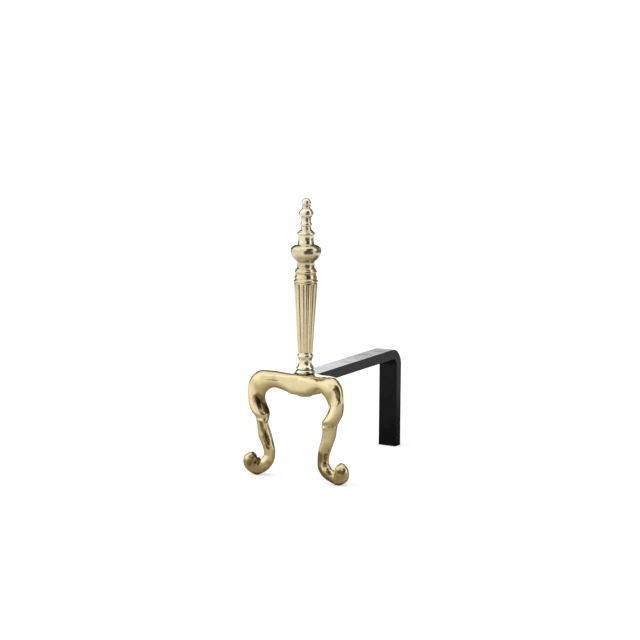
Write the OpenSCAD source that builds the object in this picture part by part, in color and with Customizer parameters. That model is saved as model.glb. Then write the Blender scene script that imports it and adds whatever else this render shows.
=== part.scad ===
// Andiron (fire dog): a cast brass arch on two cabriole legs carries a turned
// brass column. A flat black log bar runs back from under the column, bends down
// and stands on the hearth. One long steel screw through the casting and the bar
// pulls the whole column together.
// Millimetres. +Z is up, the bar runs towards +Y, and the arch and its legs stand
// across X. The floor is Z = 0 and the origin is the middle of the space that the
// andiron takes up on it. The pieces are drawn round the column's axis.

/* [Log bar] */
// Width of the flat bar stock
bar_w = 30; // [24:1:34]
// Thickness of the flat bar stock
bar_t = 15; // [10:1:17]
// Height of the bar's top face, where the column stands, above the floor
log_height = 152; // [146:1:170]
// Length of the bar from the column's axis to the back of the rear leg
bar_length = 270; // [180:5:400]
// Outside radius of the bar's bend
bend_r = 27; // [20:1:40]
// How far the bar reaches in front of the column's axis
bar_nose = 12; // [8:0.5:13]
// Radius of the rounded corners at the bar's front end, under the column
nose_round = 10; // [2:0.5:11]

/* [Tie screw] */
// Diameter of the long screw that holds the column down
rod_d = 8; // [6:0.5:9]
// Radial clearance of the screw in each piece that it passes through
rod_clearance = 0.3; // [0.1:0.05:0.6]
// Radial clearance of the screw in its tapped hole in the finial
thread_clearance = 0.08; // [0.02:0.02:0.2]
// How deep the screw goes into the finial
thread_depth = 18; // [10:1:26]
// Diameter of the screw's countersunk head
head_d = 14; // [12:0.5:17]
// Width of the driver slot in the head
slot_w = 2; // [1:0.25:3]
// Depth of the driver slot in the head
slot_depth = 1.6; // [0.8:0.2:2]
// Outside diameter of the cup washer under the arch
washer_d = 24; // [20:1:28]
// Thickness of the cup washer's rim
washer_rim = 1; // [0.6:0.1:1.6]

/* [Leg arch] */
// Height of the arch casting at its middle, from the belly to the column's seat
crown_t = 28.5; // [26:0.5:34]
// Depth of the casting from front to back at its middle
crown_depth = 32; // [29:1:38]
// How far the middle of the casting lies in front of the column's axis
crown_front = 3; // [1:0.5:5]
// How far the knees and the soles stand out from the middle, measured to the
// leg's centreline
leg_spread = 66; // [60:1:84]
// Half the thickness of the leg at the knee, on average: it is wider along the
// diagonal that the knee points along
knee_r = 12.3; // [10:0.1:14]
// How far the ankles turn in from the knees
ankle_in = 10.5; // [6:0.5:14]
// Height of the ankle ring above the floor
ankle_z = 85; // [80:1:92]
// Half the thickness of the leg at the ankle, on average, just below the ring
ankle_r = 9.5; // [7.5:0.1:11]
// How far the ankle ring stands proud of the leg
ring_proud = 1.3; // [0.4:0.1:3]
// Half the thickness of the scroll foot at its toe
toe_r = 11; // [9:0.1:12]
// How far the ankles stand forward of the column's axis
leg_front = 25; // [20:1:36]
// Depth of the flat that is filed on each sole
sole_flat = 0.6; // [0.2:0.1:1.5]
// Clearance on each side of the bar in its notch
notch_clearance = 0.15; // [0.05:0.05:0.5]

/* [Column] */
// Height of the bell foot
foot_h = 20; // [16:1:26]
// Radius of the bell foot where it stands on the bar
foot_r = 14.4; // [13.2:0.1:16]
// Radius of the neck above the bell foot
neck_r = 9.7; // [8:0.1:10.4]
// Height of the lower collar
collar_h = 12.5; // [10:0.5:16]
// Radius of the lower collar's ring
collar_r = 11.9; // [11:0.1:14]
// Height of the fluted shaft
shaft_h = 100.5; // [70:0.5:140]
// Radius of the fluted shaft at its lower end
shaft_low_r = 10.8; // [10.6:0.1:12]
// Radius of the fluted shaft at its upper end
shaft_top_r = 17.1; // [15:0.1:20]
// Number of flutes round the shaft
flutes = 16; // [8:1:20]
// Depth of the flutes at the upper end
flute_depth = 1.6; // [0.6:0.1:2.2]
// Radius of the cored hollow inside the shaft, at its upper end
core_r = 10; // [6:0.5:11]
// Height of the capital on the shaft
capital_h = 26; // [22:0.5:34]
// Height of the capital's locating spigot, down in the shaft's core
spigot_h = 5; // [2:0.5:10]
// Radial clearance of the spigot in the core
spigot_clearance = 0.2; // [0.05:0.05:0.4]
// Height of the urn, with its necks
urn_h = 33; // [28:0.5:40]
// Radius of the urn
urn_r = 22; // [18:0.1:26]
// Height of the upper collar
top_collar_h = 20; // [16:0.5:26]
// Radius of the upper collar's edge
top_collar_r = 13.3; // [12:0.1:17]
// Height of the finial
finial_h = 44.5; // [40:0.5:52]
// Radius of the finial's ball
ball_r = 10.5; // [9:0.1:13]
// Radius of the finial's top button
button_r = 6.6; // [5:0.1:8]

/* [Hidden] */
$fn = 96;
brass = "#c9b06a";
pale_brass = "#d9c98c";
bar_black = "#1d1d20";
steel = "#a9a9a6";
// Cuts run past the faces that they open by this much
over = 1;
knee_x = leg_spread;
foot_x = leg_spread;
ankle_x = leg_spread - ankle_in;
bore_r = rod_d / 2 + rod_clearance;
// Heights of the joints of the column above the floor
collar_z = log_height + foot_h;
shaft_z = collar_z + collar_h;
capital_z = shaft_z + shaft_h;
urn_z = capital_z + capital_h;
top_collar_z = urn_z + urn_h;
finial_z = top_collar_z + top_collar_h;
// Radii where two pieces of the column meet
capital_neck_r = 12.5;
urn_neck_r = 12.3;
finial_neck_r = 8;
belly_z = log_height - crown_t;
// The head lies flush in the washer
head_h = (head_d - rod_d) / 2;
washer_h = head_h + 0.2;
head_z = belly_z - washer_h;

// ---- Profile curves, as [radius, height] points ----

// Part of an ellipse round [cx, cz], from angle a0 to a1, 0 being outward
function oval(cx, cz, rx, rz, a0, a1, n = 10) =
    [for (i = [0 : n]) let(a = a0 + (a1 - a0) * i / n) [cx + rx * cos(a), cz + rz * sin(a)]];

// An S-shaped cyma from p to q, upright at both ends
function cyma(p, q, n = 10) =
    [for (i = [0 : n]) let(t = i / n, s = (1 - cos(180 * t)) / 2)
        [p[0] + (q[0] - p[0]) * s, p[1] + (q[1] - p[1]) * t]];

// A turned piece on the column's axis, bored for the screw, from its outer profile
module turned(z, outline, hole_r = bore_r) {
    top = outline[len(outline) - 1][1];
    bottom = outline[0][1];
    translate([0, 0, z])
        rotate_extrude()
            polygon(concat([[hole_r, bottom]], outline, [[hole_r, top]]));
}

// ---- Leg arch: one brass casting ----

// A station is [x, y, z, half width, half depth, chord angle, squareness, bow].
// Its chord runs from the inner to the outer side of the leg, in an upright plane
// that the bow angle turns about Z, so that the sections stay square to the leg.
// From the middle of the arch to the turn above the knee
crown_stations = [
    [0, -crown_front, log_height + 0.8 - crown_t / 2, crown_t / 2 + 0.8, crown_depth / 2, 90, 4.5, 0],
    [14, -crown_front - 2.3, log_height + 1.1 - crown_t / 2, crown_t / 2 + 0.9, crown_depth / 2 + 1, 89, 4, 10],
    [25.5, -leg_front * 0.38, log_height - 11.3, 14, 16, 86, 3, 22],
    [36, -leg_front * 0.55, log_height - 8.9, 13.1, 15.2, 83, 2.4, 27],
    [knee_x - 20.4, -leg_front * 0.74, log_height - 7.6, 13.2, 15, 75, 2.2, 28],
    [knee_x - 11.2, -leg_front * 0.92, log_height - 9.6, 15.8, 14.4, 67, 2.1, 28],
    [knee_x - 4.4, -leg_front - 0.4, log_height - 16, 16.9, knee_r + 0.4, 58, 2, 26],
    [knee_x - 1.2, -leg_front + 0.1, log_height - 25.2, 17.9, knee_r - 2, 49, 2, 28]
];
// Down the knee to the ring at the ankle
knee_stations = [
    [knee_x - 0.6, -leg_front + 0.2, log_height - 34.4, knee_r + 5.2, knee_r - 2.5, 37, 2, 34],
    [knee_x - 1.5, -leg_front + 0.5, ankle_z + 24.7, knee_r + 3.7, knee_r - 1.3, 23, 2, 40],
    [knee_x - 4, -leg_front, ankle_z + 17, knee_r + 2.8, knee_r, 12, 2, 43],
    [knee_x - 7.8, -leg_front - 1.4, ankle_z + 9.5, knee_r + 1, knee_r + 0.4, 5, 2, 45]
];
// The ring and the shin below it
shin_stations = [
    [ankle_x + 1.1, -leg_front - 0.8, ankle_z + 5.2, ankle_r + 1.2, ankle_r + 2.5, 0, 2, 45],
    [ankle_x + 0.4, -leg_front - 0.9, ankle_z + 3, ankle_r + 0.4, ankle_r + 1.7, 0, 2, 45],
    [ankle_x + 0.2, -leg_front - 1.6, ankle_z - 0.4, ankle_r - 1.7 + ring_proud, ankle_r + 0.9 + ring_proud, 0, 2, 45],
    [ankle_x + 0.3, -leg_front - 1.4, ankle_z - 4.2, ankle_r - 1.4, ankle_r + 1.1, 0, 2, 45],
    [ankle_x - 1.6, -leg_front, ankle_z - 15, ankle_r - 0.2, ankle_r + 0.8, 0, 2, 36],
    [ankle_x - 4.5, -leg_front - 0.6, ankle_z - 25, ankle_r + 0.5, ankle_r - 0.4, 0, 2, 21],
    [ankle_x - 8, -leg_front - 0.1, ankle_z - 35, ankle_r - 0.3, ankle_r - 0.7, 0, 2, 5]
];
// The scroll foot: the chords turn like a fan about the notch behind the toe
foot_stations = [
    [foot_x - 20.8, -leg_front + 0.6, 41.8, 8.6, 8.2, 0, 2, 5],
    [foot_x - 21.3, -leg_front + 0.5, 33, 8.4, 7.9, 5, 2, 6],
    [foot_x - 19.8, -leg_front - 0.6, 26.8, 9.1, 7.9, 19, 2, 6],
    [foot_x - 15.7, -leg_front - 1.2, 20.8, 9.4, 8.1, 42, 2, 5],
    [foot_x - 11.1, -leg_front - 0.1, 15.9, toe_r - 2, 8.4, 64, 2, 2],
    [foot_x - 5.7, -leg_front + 2.2, 13, toe_r - 1.2, 8.8, 85, 2, 0],
    [foot_x - 0.5, -leg_front + 3.8, 12, toe_r + 1.1, toe_r - 1.6, 101, 2, 2],
    [foot_x + 4.7, -leg_front + 3.1, 14.9, toe_r + 2, toe_r - 0.9, 119, 2, 7],
    [foot_x + 8.6, -leg_front + 1.3, 18.3, toe_r + 2, toe_r - 0.8, 140, 2, 12],
    [foot_x + 9.9, -leg_front - 0.2, 22.9, toe_r + 0.6, toe_r - 1.6, 162, 2, 12],
    [foot_x + 9.3, -leg_front - 1, 27.4, toe_r - 1.1, toe_r - 2.9, 183, 2, 9],
    [foot_x + 6.7, -leg_front - 0.8, 30.1, toe_r - 3.5, toe_r - 4.2, 203, 2, 5],
    [foot_x + 4.4, -leg_front - 0.2, 31.2, toe_r - 5.7, toe_r - 6, 222, 2, 2]
];
leg_stations = concat(crown_stations, knee_stations, shin_stations, foot_stations);
stations_n = len(leg_stations);
steps = 3;
sides = 20;

// The same station on the other leg
function mirrored(s) = [-s[0], s[1], s[2], s[3], s[4], 180 - s[5], s[6], -s[7]];
function station(i) =
    i < 0 ? mirrored(leg_stations[-i]) : leg_stations[min(i, stations_n - 1)];
// A smooth curve through b and c, the second and third of four stations
function blend(a, b, c, d, t) =
    0.5 * (2 * b + (c - a) * t + (2 * a - 5 * b + 4 * c - d) * t * t + (3 * b - a - 3 * c + d) * t * t * t);
leg_curve = concat(
    [for (i = [0 : stations_n - 2], k = [0 : steps - 1])
        blend(station(i - 1), station(i), station(i + 1), station(i + 2), k / steps)],
    [leg_stations[stations_n - 1]]);
curve_n = len(leg_curve);
// From the left toe over the arch to the right toe
arch_curve = concat([for (i = [curve_n - 1 : -1 : 1]) mirrored(leg_curve[i])], leg_curve);
rings_n = len(arch_curve);

function power(v, e) = sign(v) * pow(abs(v), e);
// One ring of points round the leg, a rounded square or an ellipse
function ring(s) =
    [for (j = [0 : sides - 1])
        let(a = 360 * (j + 0.5) / sides, e = 2 / s[6],
            u = s[3] * power(cos(a), e), v = s[4] * power(sin(a), e))
        [s[0] + u * cos(s[5]) * cos(s[7]) - v * sin(s[7]),
         s[1] - u * cos(s[5]) * sin(s[7]) - v * cos(s[7]),
         s[2] + u * sin(s[5])]];
function middle(s) = [s[0], s[1], s[2]];

arch_points = concat(
    [for (s = arch_curve) each ring(s)],
    [middle(arch_curve[0]), middle(arch_curve[rings_n - 1])]);
arch_faces = concat(
    [for (i = [0 : rings_n - 2], j = [0 : sides - 1])
        let(k = (j + 1) % sides, p = i * sides, q = p + sides)
        each [[p + j, q + j, p + k], [p + k, q + j, q + k]]],
    [for (j = [0 : sides - 1]) [rings_n * sides, j, (j + 1) % sides]],
    [for (j = [0 : sides - 1]) let(p = (rings_n - 1) * sides)
        [rings_n * sides + 1, p + (j + 1) % sides, p + j]]);

// The origin is half way between the front of the legs and the back of the bar
front_y = min([for (p = arch_points) p[1]]);
centre_y = (front_y + bar_length) / 2;
module placed() {
    translate([0, -centre_y, 0]) children();
}

// The bar from above, from its rounded front end to back_y, or larger all round
module nose_outline(larger, back_y) {
    half = bar_w / 2 + larger;
    corner = nose_round + larger;
    hull() {
        for (side = [-1, 1])
            translate([side * (half - corner), corner - bar_nose - larger]) circle(r = corner);
        translate([-half, back_y - over]) square([2 * half, over]);
    }
}

module leg_arch() {
    seat_r = foot_r + 1.6;
    color(brass) placed()
        difference() {
            translate([0, 0, -sole_flat]) polyhedron(arch_points, arch_faces);
            // Flats on the soles, so that the feet stand on the floor
            translate([-2 * leg_spread, -3 * leg_front, -crown_t])
                cube([4 * leg_spread, 6 * leg_front, crown_t]);
            // Level seat for the column's foot
            translate([0, 0, log_height]) cylinder(r = seat_r, h = crown_t);
            // Notch, open at the back, that the log bar lies in
            translate([0, 0, log_height - bar_t])
                linear_extrude(bar_t + crown_t) nose_outline(notch_clearance, 2 * crown_depth);
            // Bore for the screw, and a level face for the cup washer
            translate([0, 0, belly_z - crown_t]) cylinder(r = bore_r, h = 2 * crown_t);
            translate([0, 0, belly_z - crown_t]) cylinder(d = washer_d + 2, h = crown_t);
        }
}

// ---- Log bar: flat stock, bent once, with one hole ----

module log_bar() {
    level = log_height - bend_r;
    bend_y = bar_length - bend_r;
    color(bar_black) placed()
        difference() {
            union() {
                translate([0, 0, log_height - bar_t])
                    linear_extrude(bar_t) nose_outline(0, bend_y);
                translate([-bar_w / 2, bar_length - bar_t, 0]) cube([bar_w, bar_t, level]);
                intersection() {
                    translate([-bar_w / 2, bend_y, level])
                        rotate([0, 90, 0])
                            difference() {
                                cylinder(r = bend_r, h = bar_w);
                                translate([0, 0, -over]) cylinder(r = bend_r - bar_t, h = bar_w + 2 * over);
                            }
                    translate([-bar_w, bend_y, level]) cube([2 * bar_w, bend_r + over, bend_r + over]);
                }
            }
            translate([0, 0, log_height - bar_t - over]) cylinder(r = bore_r, h = bar_t + 2 * over);
        }
}

// ---- The column, from the bottom up ----

module column_foot() {
    torus_h = 8;
    color(pale_brass) placed()
        turned(log_height, concat(
            [[foot_r - 1.2, 0]],
            oval(foot_r - 3.6, torus_h / 2, 3.6, torus_h / 2 - 0.2, -60, 75),
            cyma([foot_r - 1.2, torus_h + 0.8], [neck_r, foot_h - 3]),
            [[neck_r, foot_h]]));
}

module lower_collar() {
    ring_z = 7.2;
    color(pale_brass) placed()
        turned(collar_z, concat(
            [[neck_r, 0], [neck_r, 2.4]],
            oval(neck_r, ring_z, collar_r - neck_r, 3.4, -65, 65),
            [[shaft_low_r - 0.3, ring_z + 3.8], [shaft_low_r - 0.3, collar_h]]));
}

// Hollow-cored cone with round-bottomed flutes, tapering with it
module fluted_shaft() {
    foot_wall = 6;
    low_ratio = shaft_low_r / shaft_top_r;
    flute_w = 0.8 * 2 * PI * shaft_top_r / flutes;
    flute_r = flute_w * flute_w / (8 * flute_depth) + flute_depth / 2;
    flute_axis = shaft_top_r - flute_depth + flute_r;
    lean = atan(flute_axis * (1 - low_ratio) / shaft_h);
    flute_l = shaft_h / cos(lean);
    color(pale_brass) placed()
        translate([0, 0, shaft_z])
            difference() {
                cylinder(r1 = shaft_low_r, r2 = shaft_top_r, h = shaft_h);
                for (i = [0 : flutes - 1])
                    rotate([0, 0, 360 * i / flutes])
                        translate([flute_axis * low_ratio, 0, 0])
                            rotate([0, lean, 0])
                                translate([0, 0, -0.05 * flute_l])
                                    cylinder(r1 = flute_r * (low_ratio - 0.05 * (1 - low_ratio)),
                                             r2 = flute_r * (1 + 0.05 * (1 - low_ratio)),
                                             h = 1.1 * flute_l);
                translate([0, 0, -over]) cylinder(r = bore_r, h = shaft_h + 2 * over);
                translate([0, 0, foot_wall])
                    cylinder(r1 = bore_r, r2 = core_r, h = shaft_h - foot_wall - spigot_h - over);
                translate([0, 0, shaft_h - spigot_h - over]) cylinder(r = core_r, h = spigot_h + 2 * over);
            }
}

module shaft_capital() {
    rim_r = shaft_top_r + 0.5;
    color(pale_brass) placed()
        turned(capital_z, concat(
            [[core_r - spigot_clearance, -spigot_h], [core_r - spigot_clearance, 0]],
            [[rim_r - 0.8, 0]],
            oval(rim_r - 1.8, 3.6, 1.8, 2.6, -70, 70),
            [[rim_r - 1.7, 7]],
            cyma([rim_r - 1.4, 7.6], [rim_r - 2.8, 13.6], 6),
            oval(rim_r - 3.4, 17.4, 2, 2.9, -70, 50),
            cyma([rim_r - 2.6, 20.4], [capital_neck_r, capital_h - 1.6], 6),
            [[capital_neck_r, capital_h]]));
}

// A squashed ball, egg-shaped below and square-shouldered above, between two necks
module urn() {
    middle_z = urn_h - 12;
    shoulder_h = 10.6;
    function shoulder(a) = [urn_r * power(cos(a), 0.6), middle_z + shoulder_h * power(sin(a), 0.6)];
    color(pale_brass) placed()
        turned(urn_z, concat(
            [[urn_neck_r, 0], [urn_neck_r, 3.4]],
            [for (a = [-52 : 4 : 0]) [urn_r * cos(a), middle_z + 18.4 * sin(a)]],
            [for (a = [6 : 6 : 66]) shoulder(a)],
            [[urn_neck_r, urn_h - 1.2], [urn_neck_r - 0.4, urn_h]]));
}

module upper_collar() {
    edge_z = top_collar_h - 6.4;
    color(pale_brass) placed()
        turned(top_collar_z, concat(
            cyma([urn_neck_r - 0.6, 0], [10.8, 4.4], 5),
            [[10.8, 8.4]],
            oval(top_collar_r - 1.9, edge_z, 1.9, 2.3, -80, 60),
            cyma([top_collar_r - 2, edge_z + 2.6], [finial_neck_r, top_collar_h - 0.6], 6),
            [[finial_neck_r, top_collar_h]]));
}

// A small bead, a ball and a button in one turning, tapped from below
module finial() {
    ball_z = finial_h - 22;
    button_z = finial_h - 6.7;
    color(pale_brass) placed()
        difference() {
            turned(finial_z, concat(
                [[finial_neck_r - 0.6, 0], [7.2, 1.4], [7.1, 3.2]],
                oval(6.9, 6.6, 1.6, 2.9, -70, 70),
                [[7, 10.6], [6.9, 12.4]],
                oval(0, ball_z, ball_r, 9.2, -48, 54, 14),
                [[5.6, ball_z + 9], [6.8, ball_z + 10.2], [6.7, ball_z + 11.4], [5.4, ball_z + 12.4]],
                oval(0, button_z, button_r, 6.7, -25, 90, 12)), 0);
            translate([0, 0, finial_z - over])
                cylinder(r = rod_d / 2 + thread_clearance, h = thread_depth + 2 * over);
        }
}

// ---- The fastening under the arch ----

// Long screw: the head lies flush in the cup washer, the tip is in the finial
module tie_screw() {
    color(steel) placed()
        difference() {
            union() {
                translate([0, 0, head_z]) cylinder(d1 = head_d, d2 = rod_d, h = head_h);
                translate([0, 0, head_z]) cylinder(d = rod_d, h = finial_z + thread_depth - head_z);
            }
            translate([-head_d, -slot_w / 2, head_z - over]) cube([2 * head_d, slot_w, slot_depth + over]);
        }
}

module cup_washer() {
    cone_clearance = 0.15;
    head_r = head_d / 2 + cone_clearance;
    color(steel) placed()
        translate([0, 0, head_z])
            difference() {
                union() {
                    translate([0, 0, washer_h - washer_rim]) cylinder(d = washer_d, h = washer_rim);
                    cylinder(d1 = washer_d - 4, d2 = washer_d - 0.6, h = washer_h - washer_rim);
                }
                translate([0, 0, -over])
                    cylinder(r1 = head_r + over, r2 = head_r - washer_h, h = washer_h + over);
                translate([0, 0, -over]) cylinder(r = bore_r, h = washer_h + 2 * over);
            }
}

leg_arch();
log_bar();
column_foot();
lower_collar();
fluted_shaft();
shaft_capital();
urn();
upper_collar();
finial();
tie_screw();
cup_washer();
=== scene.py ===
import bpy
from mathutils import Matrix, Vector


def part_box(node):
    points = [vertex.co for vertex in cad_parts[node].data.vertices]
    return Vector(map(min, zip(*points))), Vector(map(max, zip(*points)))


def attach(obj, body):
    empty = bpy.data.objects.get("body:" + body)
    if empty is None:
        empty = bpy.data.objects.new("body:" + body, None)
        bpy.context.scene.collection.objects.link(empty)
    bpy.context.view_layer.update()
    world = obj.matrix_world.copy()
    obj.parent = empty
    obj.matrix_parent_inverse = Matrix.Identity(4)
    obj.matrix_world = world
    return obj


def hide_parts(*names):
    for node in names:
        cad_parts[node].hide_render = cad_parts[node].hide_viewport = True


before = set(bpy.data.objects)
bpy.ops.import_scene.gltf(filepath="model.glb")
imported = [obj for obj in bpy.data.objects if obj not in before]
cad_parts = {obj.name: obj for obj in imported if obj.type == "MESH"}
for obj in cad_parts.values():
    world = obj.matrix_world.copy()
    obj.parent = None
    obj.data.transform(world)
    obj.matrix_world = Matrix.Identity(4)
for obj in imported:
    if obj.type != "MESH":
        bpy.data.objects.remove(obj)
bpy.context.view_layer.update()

import math

import bmesh
import bpy
from mathutils import Matrix, Vector

# ---- Log bar -------------------------------------------------------------------
# Black painted iron flat bar, 30 x 15 mm, bent hot once and drilled for the tie
# screw. Its rounded front end lies in the notch of the arch, and its rear end
# stands on the hearth.

mm = 0.001
column_low, column_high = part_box("column_foot")
column_y = (column_low.y + column_high.y) / 2
bar_low, bar_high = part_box("log_bar")
bar_thick = 15 * mm
bar_bend = 27 * mm
bar_edge = 0.7 * mm
bar_crease = 40
bar_nose_round = 10 * mm
bend_steps, nose_steps = 28, 12
screw_bore = 4.3 * mm
overcut = 10 * mm


def linked(name, mesh):
    """An object in the scene for a mesh, at the origin."""
    item = bpy.data.objects.new(name, mesh)
    bpy.context.scene.collection.objects.link(item)
    return item


def as_object(name, shape):
    """A finished shape as an object in the scene."""
    mesh = bpy.data.meshes.new(name)
    shape.to_mesh(mesh)
    shape.free()
    return linked(name, mesh)


def pushed(name, outline, push):
    """A solid made by pushing a flat outline along a vector."""
    shape = bmesh.new()
    flat = shape.faces.new([shape.verts.new(point) for point in outline])
    grown = bmesh.ops.extrude_face_region(shape, geom=[flat])
    ends = [part for part in grown["geom"] if isinstance(part, bmesh.types.BMVert)]
    bmesh.ops.translate(shape, vec=push, verts=ends)
    bmesh.ops.recalc_face_normals(shape, faces=shape.faces)
    return as_object(name, shape)


def prism(name, outline, low_x, high_x):
    """A solid with a (y, z) outline, reaching from low_x to high_x."""
    return pushed(name, [(low_x, y, z) for y, z in outline], (high_x - low_x, 0, 0))


def block(name, low, high):
    """A square-edged solid between two corners, to cut with."""
    corners = [(low[1], low[2]), (high[1], low[2]), (high[1], high[2]), (low[1], high[2])]
    return prism(name, corners, low[0], high[0])


def slab(name, outline, low_z, high_z):
    """A solid with an (x, y) outline, reaching from low_z to high_z."""
    return pushed(name, [(x, y, low_z) for x, y in outline], (0, 0, high_z - low_z))


def plug(name, radius, low_z, high_z, sides=96):
    """A round solid on the column's axis, to cut with."""
    shape = bmesh.new()
    middle = Matrix.Translation((0, column_y, (low_z + high_z) / 2))
    bmesh.ops.create_cone(shape, cap_ends=True, segments=sides, radius1=radius,
                          radius2=radius, depth=high_z - low_z, matrix=middle)
    return as_object(name, shape)


def cut(draft, cutter):
    """Takes the cutter's solid out of the draft, and returns the cutter."""
    tool = draft.modifiers.new(cutter.name, "BOOLEAN")
    tool.operation = "DIFFERENCE"
    tool.solver = "EXACT"
    tool.object = cutter
    return cutter


def finished(name, draft, cutters=(), crease=None):
    """The draft as a plain mesh piece, its modifiers applied and its cutters removed.

    With a crease angle in degrees it is shaded smooth, and only steeper edges stay sharp.
    """
    graph = bpy.context.evaluated_depsgraph_get()
    mesh = bpy.data.meshes.new_from_object(draft.evaluated_get(graph), depsgraph=graph)
    for used in (draft, *cutters):
        bpy.data.objects.remove(used)
    if crease:
        mesh.shade_smooth()
        mesh.set_sharp_from_angle(angle=math.radians(crease))
    mesh.name = name
    return linked(name, mesh)


def stands_for(piece, node, finish):
    """The piece takes the node's place on the andiron, in this finish."""
    piece.data.materials.clear()
    piece.data.materials.append(finish)
    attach(piece, "root")
    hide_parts(node)


def arc(centre, radius, start, end, steps):
    """Points on a circle between two angles in degrees."""
    turn = [math.radians(start + (end - start) * i / steps) for i in range(steps + 1)]
    return [(centre[0] + radius * math.cos(a), centre[1] + radius * math.sin(a)) for a in turn]


def put(tree, kind, inputs=None, **settings):
    """A node with its settings, its inputs given as values or as sockets to link."""
    node = tree.nodes.new(kind)
    for key, value in settings.items():
        setattr(node, key, value)
    for key, value in (inputs or {}).items():
        if isinstance(value, bpy.types.NodeSocket):
            tree.links.new(value, node.inputs[key])
        else:
            node.inputs[key].default_value = value
    return node


def maths(tree, operation, *values):
    """One Math node's result."""
    return put(tree, "ShaderNodeMath", dict(enumerate(values)), operation=operation).outputs[0]


def faded(tree, value, low, high, to_low=0.0, to_high=1.0):
    """A value spread smoothly from to_low at low to to_high at high."""
    return put(tree, "ShaderNodeMapRange", {"Value": value, "From Min": low, "From Max": high,
                                            "To Min": to_low, "To Max": to_high},
               interpolation_type="SMOOTHSTEP").outputs[0]


def noise(tree, where, scale, detail=2.0, rough=0.5):
    """Even noise from 0 to 1 round 0.5."""
    return put(tree, "ShaderNodeTexNoise", {"Vector": where, "Scale": scale, "Detail": detail,
                                            "Roughness": rough}).outputs["Fac"]


def blended(tree, share, first, second, mode="MIX"):
    """Two colours mixed."""
    mix = put(tree, "ShaderNodeMix", data_type="RGBA", blend_type=mode)
    for index, value in ((0, share), (6, first), (7, second)):
        if isinstance(value, bpy.types.NodeSocket):
            tree.links.new(value, mix.inputs[index])
        else:
            mix.inputs[index].default_value = value
    return mix.outputs[2]


def group(name, inputs, outputs, tree_type="ShaderNodeTree"):
    """An empty node group with named sockets, and its input and output nodes."""
    tree = bpy.data.node_groups.new(name, tree_type)
    for socket, kind, value in inputs:
        made = tree.interface.new_socket(socket, in_out="INPUT", socket_type=kind)
        if value is not None:
            made.default_value = value
    for socket, kind in outputs:
        tree.interface.new_socket(socket, in_out="OUTPUT", socket_type=kind)
    return tree, tree.nodes.new("NodeGroupInput"), tree.nodes.new("NodeGroupOutput")


# Edge wear: a mask of the outer edges, broken up by noise
edge_wear, given, wanted = group(
    "edge_wear",
    [("Where", "NodeSocketVector", None), ("Width", "NodeSocketFloat", 0.0008),
     ("Patch scale", "NodeSocketFloat", 300.0), ("Amount", "NodeSocketFloat", 1.0)],
    [("Mask", "NodeSocketFloat")])
rounded = put(edge_wear, "ShaderNodeBevel", {"Radius": given.outputs["Width"]}, samples=6)
plain = put(edge_wear, "ShaderNodeNewGeometry")
bent = put(edge_wear, "ShaderNodeVectorMath",
           {0: rounded.outputs[0], 1: plain.outputs["Normal"]}, operation="DOT_PRODUCT")
flat_face, worn_corner = 0.985, 0.86
edge = faded(edge_wear, bent.outputs["Value"], flat_face, worn_corner)
broken = noise(edge_wear, given.outputs["Where"], given.outputs["Patch scale"], detail=4.0)
edge = maths(edge_wear, "MULTIPLY", edge, faded(edge_wear, broken, 0.35, 0.62))
edge_wear.links.new(maths(edge_wear, "MULTIPLY", edge, given.outputs["Amount"]),
                    wanted.inputs["Mask"])

# Uneven skin: slow waves and a fine grain, as a height, with a mask of smudges
uneven_skin, given, wanted = group(
    "uneven_skin",
    [("Where", "NodeSocketVector", None), ("Wave scale", "NodeSocketFloat", 60.0),
     ("Grain scale", "NodeSocketFloat", 1500.0), ("Grain share", "NodeSocketFloat", 0.2),
     ("Smudge scale", "NodeSocketFloat", 40.0)],
    [("Height", "NodeSocketFloat"), ("Smudge", "NodeSocketFloat")])
where = given.outputs["Where"]
waves = noise(uneven_skin, where, given.outputs["Wave scale"])
grain = noise(uneven_skin, where, given.outputs["Grain scale"], detail=3.0, rough=0.6)
grain = maths(uneven_skin, "MULTIPLY", grain, given.outputs["Grain share"])
uneven_skin.links.new(maths(uneven_skin, "ADD", waves, grain), wanted.inputs["Height"])
smudges = noise(uneven_skin, where, given.outputs["Smudge scale"], detail=5.0, rough=0.62)
uneven_skin.links.new(faded(uneven_skin, smudges, 0.38, 0.66), wanted.inputs["Smudge"])


def finish_named(name):
    """A new material with its tree, its object coordinates and its shader."""
    finish = bpy.data.materials.new(name)
    finish.use_nodes = True
    tree = finish.node_tree
    where = put(tree, "ShaderNodeTexCoord").outputs["Object"]
    return finish, tree, where, tree.nodes["Principled BSDF"]


black_paint, tree, where, shader = finish_named("black_paint")
skin = put(tree, "ShaderNodeGroup", {"Where": where, "Wave scale": 90.0, "Grain scale": 1400.0,
                                     "Grain share": 0.12, "Smudge scale": 55.0},
           node_tree=uneven_skin)
worn = put(tree, "ShaderNodeGroup", {"Where": where, "Width": 0.9 * mm, "Patch scale": 260.0,
                                     "Amount": 0.5}, node_tree=edge_wear)
dark_soot, pale_soot = (0.0045, 0.0045, 0.0058, 1), (0.0075, 0.0075, 0.0095, 1)
rubbed_iron = (0.055, 0.052, 0.05, 1)
soot = blended(tree, skin.outputs["Smudge"], dark_soot, pale_soot)
tree.links.new(blended(tree, worn.outputs["Mask"], soot, rubbed_iron), shader.inputs["Base Color"])
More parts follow.
